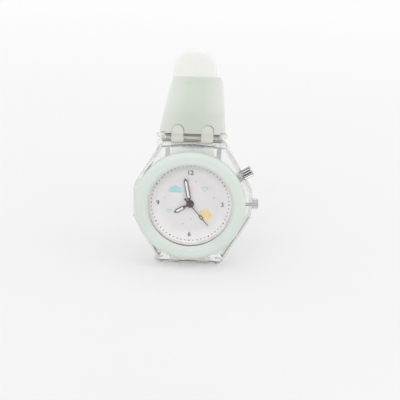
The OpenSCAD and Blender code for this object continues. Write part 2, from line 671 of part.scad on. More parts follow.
coil_z = 5.075;
magnet_r = 0.62;
core_half = 4.8;
module coil_core() color([0.5, 0.5, 0.52]) in_case() {
    block(-core_half, core_half, coil_y - 0.4, coil_y + 0.4, coil_z - 0.225, coil_z + 0.225);
    both_x() block(core_half - 0.9, core_half, 5.6, coil_y - 0.4 + eps, coil_z - 0.225, coil_z + 0.225);
}
module coil_winding() color([0.72, 0.4, 0.2]) in_case() difference() {
    translate([0, coil_y, coil_z]) rod_x(1.3, 7.2);
    block(-9, 9, coil_y - 0.4, coil_y + 0.4, coil_z - 0.225, coil_z + 0.225);
}
module stator_plate() color([0.6, 0.6, 0.62]) in_case() difference() {
    union() {
        block(-core_half, core_half, 3.9, 6.6, coil_z + 0.225, coil_z + 0.675);
        both_x() block(core_half - 0.9, core_half, 6.5, 7, coil_z + 0.225, coil_z + 0.675);
    }
    polar(rotor_dist, step_at) disc(magnet_r + 0.2, 0, 10);
}

// each mesh has a tooth of the driver on the line of centres and a gap of the driven wheel
module rotor() color([0.3, 0.3, 0.33]) in_case() polar(rotor_dist, step_at) {
    disc(arbor_d / 2, bridge_back + 0.1, web_back + 0.15);
    wheel(8, 0.1, layer_b, 0.35, step_at + 180);
    disc(magnet_r, layer_c - 0.05, layer_c + 0.4);
}
module step_wheel() color([0.9, 0.87, 0.75]) in_case() polar(step_dist, step_at) {
    disc(arbor_d / 2, bridge_back + 0.1, web_back + 0.15);
    wheel(40, 0.1, layer_b, wheel_t, step_at + 180 / 40);
    wheel(8, 0.115, layer_a, layer_b - layer_a + eps, step_at + 180);
}
module second_wheel() color([0.9, 0.87, 0.75]) in_case() {
    disc(second_arbor_r, bridge_back + 0.1, second_z + hand_t - 0.05);
    wheel(48, 0.115, layer_a, wheel_t, step_at + 180 / 48);
    wheel(8, 0.096, layer_a + wheel_t - eps, 0.5, third_at);
}
module third_wheel() color([0.9, 0.87, 0.75]) in_case() polar(third_dist, third_at) {
    disc(arbor_d / 2, bridge_back + 0.1, web_back + 0.15);
    wheel(60, 0.096, layer_b, wheel_t, third_at + 180 + 180 / 60);
    wheel(8, 0.0907, layer_b + wheel_t - eps, 0.6, third_at + 180);
}
// the cannon pinion is a friction fit in the centre wheel, so the hands can be set
module centre_wheel() color([0.9, 0.87, 0.75]) in_case() difference() {
    wheel(64, 0.0907, layer_c, wheel_t, third_at + 180 / 64);
    disc(0.5 + 0.02, 0, 12);
}
module cannon_pinion() color([0.8, 0.7, 0.4]) in_case() difference() {
    union() {
        disc(0.5, layer_c - 0.05, minute_z + hand_t);
        wheel(12, 0.12, layer_d, 0.22, minute_wheel_at);
    }
    disc(0.27, 0, 12);
}
module minute_wheel() color([0.9, 0.87, 0.75]) in_case() polar(minute_dist, minute_wheel_at) {
    disc(arbor_d / 2, web_back + 0.1, dial_back - 0.05);
    wheel(36, 0.12, layer_d, 0.22, minute_wheel_at + 180 + 180 / 36);
    wheel(10, 0.1152, layer_d + 0.2, dial_back - layer_d - 0.25, minute_wheel_at + 180);
}
module hour_wheel() color([0.9, 0.87, 0.75]) in_case() difference() {
    union() {
        disc(0.85, layer_e, hour_z + hand_t);
        wheel(40, 0.1152, layer_e, 0.22, minute_wheel_at + 180 / 40);
    }
    disc(0.56, 0, 12);
}

// light unit, on the back of the holder

module light_board() color([0.13, 0.4, 0.25]) in_case()
    ring(movement_r + 0.4, holder_r - 0.65, board_back, holder_back);
led_r = holder_r - 1.6;
module light_leds() color([0.95, 0.95, 0.85]) in_case() for (a = [100, 215, 335]) rotate([0, 0, a]) {
    block(led_r - 0.7, led_r + 0.3, -1, 1, board_back - 0.9, board_back);
    translate([led_r + 0.3 - eps, 0, board_back - 0.45]) rod_x(0.7, 0.5);
}
light_cell_dist = holder_r - 0.75 - light_cell_d / 2;
light_cell_t = 1.6;
module light_cells() color([0.8, 0.8, 0.82]) in_case() for (a = [160, 270]) polar(light_cell_dist, a) {
    disc(light_cell_d / 2, board_back - light_cell_t, board_back - 0.25);
    disc(light_cell_d / 2 - 0.5, board_back - 0.25 - eps, board_back);
}
// a strip over each cell, with a leg at both sides that stands on the board
module light_clips() color([0.78, 0.72, 0.5]) in_case() for (a = [160, 270]) rotate([0, 0, a])
    for (s = [-1, 1]) {
        block(light_cell_dist - 0.6, light_cell_dist + 0.6, s < 0 ? -light_cell_d / 2 - 0.35 : -eps,
              s < 0 ? eps : light_cell_d / 2 + 0.35, board_back - light_cell_t - 0.15, board_back - light_cell_t);
        block(light_cell_dist - 0.6, light_cell_dist + 0.6,
              s < 0 ? -light_cell_d / 2 - 0.35 : light_cell_d / 2 + 0.2,
              s < 0 ? -light_cell_d / 2 - 0.2 : light_cell_d / 2 + 0.35,
              board_back - light_cell_t - 0.15, board_back);
    }
// a leaf that the pusher bends to light the lamps
module light_contact() color([0.78, 0.72, 0.5]) in_case() rotate([0, 0, pusher_angle]) {
    block(leaf_r - 1.1, leaf_r, -1, 1, holder_back, holder_back + 0.15);
    block(leaf_r - 0.15, leaf_r, -1, 1, holder_back, stem_h + 0.8);
}

case_body();
bezel_ring();
crystal();
dial_flange();
dial_plate();
back_cover();
back_gasket();
upper_case_pin();
lower_case_pin();
upper_strap_pin();
lower_strap_pin();
upper_links();
lower_links();
strap_upper();
strap_lower();
buckle_frame();
buckle_bar();
buckle_prong();
strap_keeper();
crown_head();
crown_stem();
setting_pinion();
setting_lever();
light_pusher();
pusher_spring();
hour_hand();
minute_hand();
second_hand();
movement_holder();
main_plate();
train_bridge();
coil_core();
coil_winding();
stator_plate();
rotor();
step_wheel();
second_wheel();
third_wheel();
centre_wheel();
cannon_pinion();
minute_wheel();
hour_wheel();
circuit_board();
quartz_can();
timer_chip();
time_cell();
cell_strap();
light_board();
light_leds();
light_cells();
light_clips();
light_contact();
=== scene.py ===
# Toy watch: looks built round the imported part, in its own frame.
# Sizes below are millimetres, meshes and the studio are metres.
import json
import math

import bpy
import numpy as np
from mathutils import Matrix, Vector


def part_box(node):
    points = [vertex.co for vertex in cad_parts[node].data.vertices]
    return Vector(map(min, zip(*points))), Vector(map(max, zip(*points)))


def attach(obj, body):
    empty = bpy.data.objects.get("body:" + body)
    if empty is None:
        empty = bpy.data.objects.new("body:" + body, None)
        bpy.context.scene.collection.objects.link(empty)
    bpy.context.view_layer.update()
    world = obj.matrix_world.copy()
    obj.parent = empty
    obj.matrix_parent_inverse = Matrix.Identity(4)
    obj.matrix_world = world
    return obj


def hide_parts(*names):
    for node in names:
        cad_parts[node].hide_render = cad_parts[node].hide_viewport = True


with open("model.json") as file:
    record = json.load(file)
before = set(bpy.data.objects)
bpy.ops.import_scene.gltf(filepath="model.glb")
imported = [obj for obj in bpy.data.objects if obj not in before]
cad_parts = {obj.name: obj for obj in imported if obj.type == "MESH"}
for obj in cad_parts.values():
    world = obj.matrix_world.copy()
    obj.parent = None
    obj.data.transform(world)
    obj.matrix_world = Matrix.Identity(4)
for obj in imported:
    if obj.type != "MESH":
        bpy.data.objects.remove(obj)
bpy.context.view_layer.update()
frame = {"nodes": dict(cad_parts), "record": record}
nodes = frame["nodes"]
mm = 0.001


def middle(node):  # centre of a node's box, in millimetres
    low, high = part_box(node)
    return np.array((low + high) / 2) / mm


def addObject(name, data):  # a new object in the scene, at the origin
    thing = bpy.data.objects.new(name, data)
    bpy.context.scene.collection.objects.link(thing)
    return thing


# Camera

view = {"azimuth": 0.55, "elevation": 17.7, "roll": 1.96, "distance": 350.0, "aim": (3.07, -9.6, 20.07),
        "focal": 1065.0, "frame": 400.0, "sensor": 36.0, "nearest": 10.0, "farthest": 20000.0}


def aimCamera(s):
    # stands back along azimuth and elevation from the aim, then turns about the line of sight by the roll
    a, e, r = (math.radians(s[k]) for k in ("azimuth", "elevation", "roll"))
    back = Vector((math.sin(a) * math.cos(e), -math.cos(a) * math.cos(e), math.sin(e)))
    right = Vector((0, 0, 1)).cross(back).normalized()
    up = back.cross(right)
    camX = right * math.cos(r) + up * math.sin(r)
    camY = up * math.cos(r) - right * math.sin(r)
    data = bpy.data.cameras.new("photoCamera")
    data.sensor_width = s["sensor"]
    data.lens = s["focal"] / s["frame"] * s["sensor"]
    data.clip_start, data.clip_end = s["nearest"] * mm, s["farthest"] * mm
    camera = addObject("photoCamera", data)
    place = Vector(s["aim"]) * mm + back * s["distance"] * mm
    camera.matrix_world = Matrix((
        (camX.x, camY.x, back.x, place.x),
        (camX.y, camY.y, back.y, place.y),
        (camX.z, camY.z, back.z, place.z),
        (0, 0, 0, 1)))
    bpy.context.scene.camera = camera


aimCamera(view)
bpy.context.scene.view_settings.view_transform = "Standard"
print("camera placed")


# Materials

def linear(colour):  # from screen colour, 0 to 1, to scene light
    c = np.asarray(colour, float)
    return np.where(c <= 0.04045, c / 12.92, ((c + 0.055) / 1.055) ** 2.4)


def seenRays(tree):
    # 1 for the rays that see the background: from the camera, off metal and through glass
    path = tree.nodes.new("ShaderNodeLightPath")
    seen = path.outputs["Is Camera Ray"]
    for ray in ("Is Glossy Ray", "Is Transmission Ray"):
        larger = tree.nodes.new("ShaderNodeMath")
        larger.operation = "MAXIMUM"
        tree.links.new(seen, larger.inputs[0])
        tree.links.new(path.outputs[ray], larger.inputs[1])
        seen = larger.outputs[0]
    return seen


class Tree:
    # a material's nodes: add makes one, join links two
    def __init__(self, name):
        self.material = bpy.data.materials.new(name)
        self.material.use_nodes = True
        self.nodes = self.material.node_tree.nodes
        self.links = self.material.node_tree.links
        self.shader = self.nodes["Principled BSDF"]
        self.coord = self.add("ShaderNodeTexCoord").outputs["Object"]

    def add(self, kind, **values):
        node = self.nodes.new(kind)
        for key, value in values.items():
            if hasattr(node, key):
                setattr(node, key, value)
            else:
                node.inputs[key.replace("_", " ")].default_value = value
        return node

    def join(self, output, target):
        self.links.new(output, target)

    def set(self, **values):
        for key, value in values.items():
            self.shader.inputs[key.replace("_", " ")].default_value = value

    def noise(self, scale, detail=3.0, stretch=None):
        source = self.coord
        if stretch:
            turned = self.add("ShaderNodeMapping", Scale=stretch)
            self.join(source, turned.inputs["Vector"])
            source = turned.outputs["Vector"]
        node = self.add("ShaderNodeTexNoise", Scale=scale, Detail=detail)
        self.join(source, node.inputs["Vector"])
        return node.outputs["Fac"]

    def spread(self, value, low, high, fromLow=0.3, fromHigh=0.7):
        # from one range to another, held at its ends
        node = self.add("ShaderNodeMapRange", From_Min=fromLow, From_Max=fromHigh, To_Min=low, To_Max=high)
        self.join(value, node.inputs["Value"])
        return node.outputs["Result"]

    def blend(self, fac, first, second):
        node = self.add("ShaderNodeMix", data_type="RGBA")
        self.join(fac, node.inputs[0])
        for socket, colour in ((node.inputs[6], first), (node.inputs[7], second)):
            if isinstance(colour, bpy.types.NodeSocket):
                self.join(colour, socket)
            else:
                socket.default_value = (*colour, 1.0)
        return node.outputs[2]

    def bump(self, height, strength, depth):
        node = self.add("ShaderNodeBump", Strength=strength, Distance=depth * mm)
        self.join(height, node.inputs["Height"])
        self.join(node.outputs["Normal"], self.shader.inputs["Normal"])

    def awayFrom(self, place, scale=(1, 1, 1)):
        # distance from a place, in metres; a scale of 0 leaves that direction out
        moved = self.add("ShaderNodeMapping", Location=tuple(-v for v in place), Scale=scale)
        self.join(self.coord, moved.inputs["Vector"])
        length = self.add("ShaderNodeVectorMath", operation="LENGTH")
        self.join(moved.outputs["Vector"], length.inputs[0])
        return length.outputs["Value"]

    def mixIn(self, share, other):
        # the shader gives way to another one by a share
        mixed = self.add("ShaderNodeMixShader")
        self.join(share, mixed.inputs[0])
        self.join(self.shader.outputs[0], mixed.inputs[1])
        self.join(other.outputs[0], mixed.inputs[2])
        self.join(mixed.outputs[0], self.nodes["Material Output"].inputs["Surface"])

    def letLightThrough(self, tint):
        # rays from the lamps and the room pass straight through, so that what is behind is lit
        path = self.add("ShaderNodeLightPath")
        clear = self.add("ShaderNodeBsdfTransparent", Color=(*linear(tint), 1.0))
        self.mixIn(path.outputs["Is Shadow Ray"], clear)

    def liftForSight(self, share):
        # a share of plain white, from place to place, for the rays that see the background
        shared = self.add("ShaderNodeMath", operation="MULTIPLY")
        self.join(seenRays(self.material.node_tree), shared.inputs[0])
        self.join(share, shared.inputs[1])
        self.mixIn(shared.outputs[0], self.add("ShaderNodeEmission", Strength=1.0))

    def colour(self, output):
        self.join(output, self.shader.inputs["Base Color"])

    def rough(self, output):
        self.join(output, self.shader.inputs["Roughness"])


def finish(name, colour, rough, vary=0.05, scale=260.0, roughSpread=0.06, bump=0.0, grain=2500.0, depth=0.02,
           stretch=None, **sockets):
    # a colour that drifts a little with noise, a roughness that drifts with it, and a fine grain
    t = Tree(name)
    base = linear(colour)
    drift = t.spread(t.noise(scale, 3.0, stretch), 0.0, 1.0)
    t.colour(t.blend(drift, np.clip(base * (1 - vary), 0, 1), np.clip(base * (1 + vary), 0, 1)))
    t.rough(t.spread(t.noise(scale * 4, 2.0, stretch), max(rough - roughSpread, 0.01), rough + roughSpread))
    if bump:
        t.bump(t.noise(grain, 2.0, stretch), bump, depth)
    t.set(**sockets)
    return t.material


def axisPlaces(t, point, turn):
    # place along, and distance from, a line through point that lies along X turned about Y
    c, s = math.cos(math.radians(turn)), math.sin(math.radians(turn))
    x, y, z = (v * mm for v in point)
    rotated = t.add("ShaderNodeMapping", Location=(-(x * c + z * s), -y, x * s - z * c),
                    Rotation=(0, math.radians(turn), 0))
    t.join(t.coord, rotated.inputs["Vector"])
    parts = t.add("ShaderNodeSeparateXYZ")
    t.join(rotated.outputs["Vector"], parts.inputs[0])
    flat = t.add("ShaderNodeVectorMath", operation="MULTIPLY")
    flat.inputs[1].default_value = (0, 1, 1)
    t.join(rotated.outputs["Vector"], flat.inputs[0])
    length = t.add("ShaderNodeVectorMath", operation="LENGTH")
    t.join(flat.outputs["Vector"], length.inputs[0])
    return parts.outputs["X"], length.outputs["Value"]


# groove: the colour of the painted shade in the flutes' grooves
chromeLook = {"groove": (0.26, 0.23, 0.22), "crest": (0.94, 0.935, 0.935), "shaft": (0.9, 0.9, 0.89),
              "shaftShares": (0.72, 0.8), "ringDark": (0.7, 0.695, 0.69), "ringPale": (0.86, 0.855, 0.85),
              "ringPitch": 0.5, "endBand": (0.07, 0.03), "rough": (0.14, 0.28)}


def flutedChrome(name, point, turn, groove, crest, headEnd):
    # by distance from the axis: a plain shaft, then painted shade in the grooves of the flutes and bright
    # chrome on their crests;
    # the head's end has turned rings, a sine of that distance
    k = chromeLook
    t = Tree(name)
    place, away = axisPlaces(t, point, turn)
    deep = t.spread(away, 0.0, 1.0, groove * mm, crest * mm)
    # painted shade: the colour darkens into the grooves of the flutes
    side = t.blend(deep, linear(k["groove"]), linear(k["crest"]))
    thin, thick = (share * groove * mm for share in k["shaftShares"])
    side = t.blend(t.spread(away, 1.0, 0.0, thin, thick), side, linear(k["shaft"]))
    count = t.add("ShaderNodeMath", operation="MULTIPLY")
    t.join(away, count.inputs[0])
    count.inputs[1].default_value = 2 * math.pi / (k["ringPitch"] * mm)
    wave = t.add("ShaderNodeMath", operation="SINE")
    t.join(count.outputs[0], wave.inputs[0])
    rings = t.spread(wave.outputs[0], 0.0, 1.0, -1.0, 1.0)
    turned = t.blend(rings, linear(k["ringDark"]), linear(k["ringPale"]))
    low, high = ((headEnd - band) * mm for band in k["endBand"])
    t.colour(t.blend(t.spread(place, 0.0, 1.0, low, high), side, turned))
    t.rough(t.spread(t.noise(1500.0), *k["rough"]))
    t.set(Metallic=1.0)
    return t.material


clearLook = {"paler": 0.5, "rough": (0.6, 1.4), "flowDeep": 0.03, "lampTint": (0.99, 0.99, 0.99)}


def clearPlastic(name, tint, rough, clearness, bend, flow=0.12):
    # clear moulding with faint flow lines; what isn't clearness is milk in the plastic
    k = clearLook
    t = Tree(name)
    pale = k["paler"] + (1 - k["paler"]) * np.array(tint)
    t.colour(t.blend(t.spread(t.noise(220.0, 2.0), 0, 1), linear(tint), linear(pale)))
    t.rough(t.spread(t.noise(900.0), *(rough * share for share in k["rough"])))
    if flow:
        t.bump(t.noise(420.0, 1.0), flow, k["flowDeep"])
    t.set(Transmission_Weight=clearness, IOR=bend)
    t.letLightThrough(k["lampTint"])
    return t.material


siliconeLook = {"litEdgeFrom": 0.3, "rough": (0.36, 0.52), "grain": 0.18, "grainDeep": 0.02, "inside": 0.55,
                "insideTint": (1.0, 1.1, 1.0), "bend": 1.41, "sheen": 0.05}


def silicone(name, front, deep, sides, reach):
    # soft moulded silicone: cloudy drift of tint, painted light that makes it paler toward the sides, a fine
    # mould grain, light inside it
    k = siliconeLook
    t = Tree(name)
    cloud = t.spread(t.noise(90.0, 2.0), 0.0, 1.0)
    face = t.blend(cloud, linear(front), linear(deep))
    across = t.add("ShaderNodeAttribute", attribute_name="across").outputs["Fac"]
    # painted light: toward the sides the colour turns paler, as where light passes through the thin edges
    t.colour(t.blend(t.spread(across, 0.0, 1.0, k["litEdgeFrom"], 1.0), face, linear(sides)))
    t.rough(t.spread(t.noise(700.0, 3.0), *k["rough"]))
    t.bump(t.noise(5200.0, 2.0), k["grain"], k["grainDeep"])
    t.set(Subsurface_Weight=k["inside"], Subsurface_Radius=k["insideTint"], Subsurface_Scale=reach * mm,
          IOR=k["bend"], Sheen_Weight=k["sheen"])
    return t.material


# groove: the share of the colour left in the painted shade between turns
wireLook = {"pitch": 0.12, "bands": 3.1, "groove": 0.45}  # bands: turns of the wave in one unit of its scale


def windings(name, colour):
    # turns of fine wire: bands along X, with painted shade in the groove between them
    k = wireLook
    t = Tree(name)
    wave = t.add("ShaderNodeTexWave", Scale=1.0 / (k["pitch"] * mm) / k["bands"], Distortion=0.6)
    t.join(t.coord, wave.inputs["Vector"])
    # painted shade: the colour falls to the groove share between the turns
    t.colour(t.blend(wave.outputs["Fac"], linear(colour) * k["groove"], linear(colour)))
    t.rough(t.spread(t.noise(2000.0), 0.25, 0.4))
    t.bump(wave.outputs["Fac"], 0.6, 0.03)
    t.set(Metallic=1.0)
    return t.material


boardLook = {"lacquer": (0.10, 0.36, 0.22), "track": (0.20, 0.50, 0.30), "trackEdge": (0.62, 0.7)}


def boardLacquer(name):
    # green lacquer over copper tracks, which show as paler bands
    k = boardLook
    t = Tree(name)
    wave = t.add("ShaderNodeTexWave", Scale=330.0, Distortion=9.0, Detail=1.0)
    t.join(t.coord, wave.inputs["Vector"])
    track = t.spread(wave.outputs["Fac"], 0.0, 1.0, *k["trackEdge"])
    t.colour(t.blend(track, linear(k["lacquer"]), linear(k["track"])))
    t.rough(t.spread(t.noise(800.0), 0.25, 0.4))
    t.bump(track, 0.3, 0.02)
    return t.material


# rim: the paler colour toward the dial's edge, painted light against the shade under the bezel
enamelLook = {"low": (0.918, 0.909, 0.914), "high": (0.928, 0.919, 0.923), "rim": (0.999, 0.991, 0.994),
              "litRimFrom": 8.5, "litRimTo": 12.5}


def dialEnamel(name, centre):
    # pale enamel with a faint lilac cast, painted paler toward its rim to offset the bezel's shade there, and a
    # very fine grain
    k = enamelLook
    t = Tree(name)
    # painted light: the colour turns paler toward the rim, where the bezel's recess shades the dial
    rim = t.spread(t.awayFrom(centre * mm), 0.0, 1.0, k["litRimFrom"] * mm, k["litRimTo"] * mm)
    soft = t.blend(t.spread(t.noise(160.0), 0, 1), linear(k["low"]), linear(k["high"]))
    t.colour(t.blend(rim, soft, linear(k["rim"])))
    t.rough(t.spread(t.noise(1500.0), 0.34, 0.46))
    t.bump(t.noise(7000.0, 1.0), 0.06, 0.01)
    return t.material


dialCentre = middle("dial_plate")
headPoint = (0.0, middle("crown_head")[1], dialCentre[2])  # where the axes of the crown and the pusher meet

finishes = {
    "clear_plastic": clearPlastic("clearCase", (0.993, 0.996, 0.993), rough=0.04, clearness=0.84, bend=1.38),
    "bezel_mint": finish("mintBezel", (0.845, 0.878, 0.848), 0.34, vary=0.02, scale=120.0, bump=0.05,
                         Subsurface_Weight=0.35, Subsurface_Radius=(1.0, 1.1, 1.0),
                         Subsurface_Scale=0.8 * mm),
    "crystal_clear": clearPlastic("crystalGlass", (0.998, 0.998, 0.996), rough=0.02, clearness=1.0, bend=1.2,
                                  flow=0.0),
    "flange_grey": finish("flangeSatin", (0.925, 0.913, 0.902), 0.32, vary=0.04, scale=400.0, bump=0.06),
    "dial_white": dialEnamel("dialEnamel", dialCentre),
    "steel_back": finish("brushedBack", (0.76, 0.765, 0.775), 0.3, vary=0.10, scale=60.0, roughSpread=0.1,
                         bump=0.2, stretch=(1.0, 1.0, 40.0), Metallic=1.0),
    "gasket_black": finish("gasketRubber", (0.10, 0.10, 0.11), 0.6, vary=0.2, bump=0.2),
    "pin_steel": finish("pinSteel", (0.62, 0.61, 0.59), 0.36, vary=0.12, scale=900.0, stretch=(0.1, 1.0, 1.0),
                        Metallic=1.0),
    "chrome_trim": finish("buckleChrome", (0.86, 0.865, 0.875), 0.16, vary=0.04, scale=500.0, bump=0.04,
                          Metallic=1.0),
    "hand_dark": finish("handBronze", (0.41, 0.365, 0.36), 0.36, vary=0.12, scale=900.0, bump=0.08,
                        Metallic=0.55),
    "holder_white": finish("holderPlastic", (0.93, 0.93, 0.92), 0.45, vary=0.03, bump=0.08),
    "plate_dark": finish("plateResin", (0.22, 0.23, 0.25), 0.5, vary=0.12, bump=0.12),
    "bridge_grey": finish("bridgeAlloy", (0.74, 0.75, 0.77), 0.34, vary=0.08, stretch=(1.0, 12.0, 1.0),
                          bump=0.1, Metallic=1.0),
    "core_iron": finish("coreIron", (0.52, 0.52, 0.54), 0.38, vary=0.1, scale=600.0, bump=0.1, Metallic=1.0),
    "coil_copper": windings("coilWire", (0.78, 0.42, 0.22)),
    "magnet_dark": finish("rotorMagnet", (0.27, 0.27, 0.30), 0.4, vary=0.12, scale=900.0, Metallic=0.7),
    "wheel_plastic": finish("wheelResin", (0.92, 0.89, 0.79), 0.42, vary=0.05, scale=700.0, bump=0.06),
    "pinion_brass": finish("pinionBrass", (0.83, 0.70, 0.40), 0.26, vary=0.1, scale=800.0, Metallic=1.0),
    "board_green": boardLacquer("boardLacquer"),
    "chip_black": finish("chipEpoxy", (0.09, 0.09, 0.10), 0.5, vary=0.25, scale=1200.0, bump=0.15),
    "cell_steel": finish("cellSteel", (0.82, 0.82, 0.84), 0.24, vary=0.06, scale=700.0, stretch=(1.0, 1.0, 9.0),
                         Metallic=1.0),
    "contact_gilt": finish("springGilt", (0.82, 0.72, 0.46), 0.28, vary=0.1, scale=800.0, Metallic=1.0),
    "lamp_clear": finish("lampEpoxy", (0.96, 0.96, 0.90), 0.12, vary=0.03, Transmission_Weight=0.7, IOR=1.5),
    # sides: the paler edge colour is painted light
    "strap_silicone": silicone("strapSilicone", front=(0.805, 0.83, 0.79), deep=(0.79, 0.818, 0.777),
                               sides=(0.862, 0.87, 0.852), reach=1.4),
}
strapFinish = finishes["strap_silicone"]
# a paler copy of the strap's silicone: painted light, for the light that shines through the thin tail and
# tongues
paleLitFinish = silicone("paleLitSilicone", front=(0.945, 0.943, 0.931), deep=(0.935, 0.935, 0.921),
                      sides=(0.945, 0.943, 0.933), reach=1.6)
milkyLink = clearPlastic("milkyLink", (0.965, 0.962, 0.93), rough=0.05, clearness=0.42, bend=1.25, flow=0.0)
stemSteel = finish("stemSteel", (0.92, 0.92, 0.91), 0.3, vary=0.05, scale=900.0, stretch=(0.1, 1.0, 1.0),
                   Metallic=1.0)
own = {  # nodes that differ from the rest of their slot
    "crown_stem": stemSteel,
    "pusher_spring": stemSteel,
    "upper_links": milkyLink,
    "lower_links": milkyLink,
    "crown_head": flutedChrome("crownChrome", headPoint, turn=0.0, groove=1.7, crest=1.8, headEnd=21.65),
    "light_pusher": flutedChrome("pusherChrome", headPoint, turn=30.0, groove=1.58, crest=1.86, headEnd=22.1),
}

slotOf = {part["node"]: part["material_slot"] for part in frame["record"]["subparts"]}
for name, node in nodes.items():
    material = own.get(name, finishes[slotOf[name]])
    if not node.material_slots:
        node.data.materials.append(material)
    for place in node.material_slots:
        place.material = material
print("materials on", len(nodes), "nodes")


# Mesh helpers

def gridFaces(rows, cols, wrapRows=False, wrapCols=False):
    # each face joins a point to its next along the row and along the column
    a, b = np.meshgrid(np.arange(rows - (not wrapRows)), np.arange(cols - (not wrapCols)), indexing="ij")
    a2, b2 = (a + 1) % rows, (b + 1) % cols
    return np.stack([a * cols + b, a * cols + b2, a2 * cols + b2, a2 * cols + b], -1).reshape(-1, 4)


def addPiece(name, points, faces, body, material, sharp=50.0):
    # points in millimetres; edges that bend by more than sharp degrees stay crisp
    mesh = bpy.data.meshes.new(name)
    mesh.from_pydata((np.asarray(points, float) * mm).tolist(), [], np.asarray(faces).tolist())
    mesh.shade_smooth()
    mesh.set_sharp_from_angle(angle=math.radians(sharp))
    piece = addObject(name, mesh)
    mesh.materials.append(material)
    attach(piece, body)
    return piece


def weld(flat, faces):
    # points that fall on the same place become one
    keys = np.round(np.asarray(flat) * 1e4).astype(np.int64)
    _, first, back = np.unique(keys, axis=0, return_index=True, return_inverse=True)
    return flat[first], back.reshape(-1)[faces]


def slab(flat, faces, top, bottom, carry):
    # two copies of a flat grid, raised to top and bottom, with a wall along every edge that only one face has
    x, y = flat[faces, 0], flat[faces, 1]
    turnSign = np.sum(x * np.roll(y, -1, 1) - np.roll(x, -1, 1) * y, 1)
    faces = np.where((turnSign < 0)[:, None], faces[:, ::-1], faces)
    edges = np.concatenate([np.stack([faces[:, k], faces[:, (k + 1) % 4]], 1) for k in range(4)])
    _, first, count = np.unique(np.sort(edges, 1), axis=0, return_index=True, return_counts=True)
    rim = edges[first[count == 1]]
    n = len(flat)
    walls = np.stack([rim[:, 0], rim[:, 0] + n, rim[:, 1] + n, rim[:, 1]], 1)
    points = np.concatenate([carry(flat, top), carry(flat, bottom)])
    return points, np.concatenate([faces, faces[:, ::-1] + n, walls])


def steps(*stops):
    # stops are (place, step up to the next place); equal steps fill each stretch
    out = []
    for (a, step), (b, _) in zip(stops[:-1], stops[1:]):
        out.append(np.linspace(a, b, max(1, math.ceil((b - a) / step - 1e-9)) + 1)[:-1])
    return np.concatenate(out + [[stops[-1][0]]])


def along(path, u):
    # a straight run keeps its heading; a bend of radius r turns by distance / r about its inner side
    y0, z0 = path["start"]
    heading, turn = math.radians(path["heading"]), path["turn"]
    y, z, angle = (np.zeros_like(u) for _ in range(3))
    passed = 0.0
    for k, (length, radius) in enumerate(path["runs"]):
        last = k == len(path["runs"]) - 1
        here = ((u >= passed) | (k == 0)) & ((u < passed + length) | last)
        for pick, far in ((u[here] - passed, False), (np.array([length]), True)):
            if radius:
                bend = heading + turn * pick / radius
                py = y0 + turn * radius * (np.sin(bend) - math.sin(heading))
                pz = z0 - turn * radius * (np.cos(bend) - math.cos(heading))
            else:
                bend = np.full_like(pick, heading)
                py = y0 + pick * math.cos(heading)
                pz = z0 + pick * math.sin(heading)
            if not far:
                y[here], z[here], angle[here] = py, pz, bend
        y0, z0, heading = float(py[0]), float(pz[0]), float(bend[0])
        passed += length
    return y, z, angle


def carryOn(path):
    # x stays across the strap, u runs along the path, and the height stands on the outer side;
    # the sway to one side is a sine squared along the path
    def carry(flat, height):
        y, z, angle = along(path, flat[:, 1])
        sway = path["sway"] * np.sin(np.pi * np.clip(flat[:, 1] / path["swayEnd"], 0, 1)) ** 2
        outY, outZ = path["turn"] * np.sin(angle), -path["turn"] * np.cos(angle)
        return np.stack([flat[:, 0] + sway, y + outY * height, z + outZ * height], 1)
    return carry


def roundedEdge(dist, radius, full):
    # full height inside, falling on a quarter circle over the last radius before the edge
    d = np.clip(dist, 0, radius)
    return full - radius + np.sqrt(np.maximum(radius ** 2 - (radius - d) ** 2, 0))


# Strap pieces

# places along a strap are counted from its case pin; its rows of points run straight across from evenAt on
strap = {"thick": 2.2, "hingeHalf": 10.45, "half": 7.75, "capIn": 8.55, "edgeAt": 2.45, "backAt": 2.95,
         "taperAt": 3.45, "taperEven": 0.88, "edge": 0.5, "endEdge": 0.3, "linkX": 4.72, "linkHalf": 1.98,
         "linkRound": 3.45, "linkDeep": 1.05, "linkEase": 0.1, "evenAt": 7.0, "startRows": 46,
         "startPower": 1.35, "least": 0.03}

pinUpper = middle("upper_case_pin")
pinLower = middle("lower_case_pin")
pinPitch = middle("upper_strap_pin")[2] - pinUpper[2]


def halfWidth(u, endsAt):
    # wide at the hinge, then in to the strap's width by an even taper, with a little of a square to ease it
    s = strap
    even = s["taperEven"]
    left = 1 - np.clip((u - s["taperAt"]) / (endsAt - s["taperAt"]), 0, 1)
    return s["half"] + (s["hingeHalf"] - s["half"]) * (even * left + (1 - even) * left ** 2)


def hingeColumns(extra):
    # lines across the strap, as shares of its half width, close together at the recesses, caps and edges
    s = strap
    inner, outer = s["linkX"] - s["linkHalf"], s["linkX"] + s["linkHalf"]
    half = np.concatenate([
        steps((0, 0.55), (inner - 0.03, 0.06), (inner + 0.03, 0.1), (outer - 0.03, 0.06), (outer + 0.03, 0.5),
              (s["capIn"] - 0.04, 0.08), (s["capIn"] + 0.04, 0.4), (s["hingeHalf"] - 0.62, 0.1),
              (s["hingeHalf"] - 0.12, 0.04), (s["hingeHalf"], 1)), extra])
    half = np.unique(np.round(half, 4)) / s["hingeHalf"]
    return np.concatenate([-half[:0:-1], half])


def hingeHeights(x, u, half, start):
    # half thickness near the hinge: a soft edge along the strap's end, and soft sides
    full = strap["thick"] / 2
    end = roundedEdge(u - start, strap["endEdge"], full)
    return np.minimum(end, roundedEdge(half - np.abs(x), strap["edge"], full))


def linkRecess(x, u):
    # how deep the outer face is let in under a link: a bar with a round end, easing out over its rim
    s = strap
    dx = np.abs(x) - s["linkX"]
    away = np.where(u < s["linkRound"], np.abs(dx), np.hypot(dx, u - s["linkRound"])) - s["linkHalf"]
    t = np.clip(0.5 - away / s["linkEase"], 0, 1)
    return s["linkDeep"] * t * t * (3 - 2 * t)


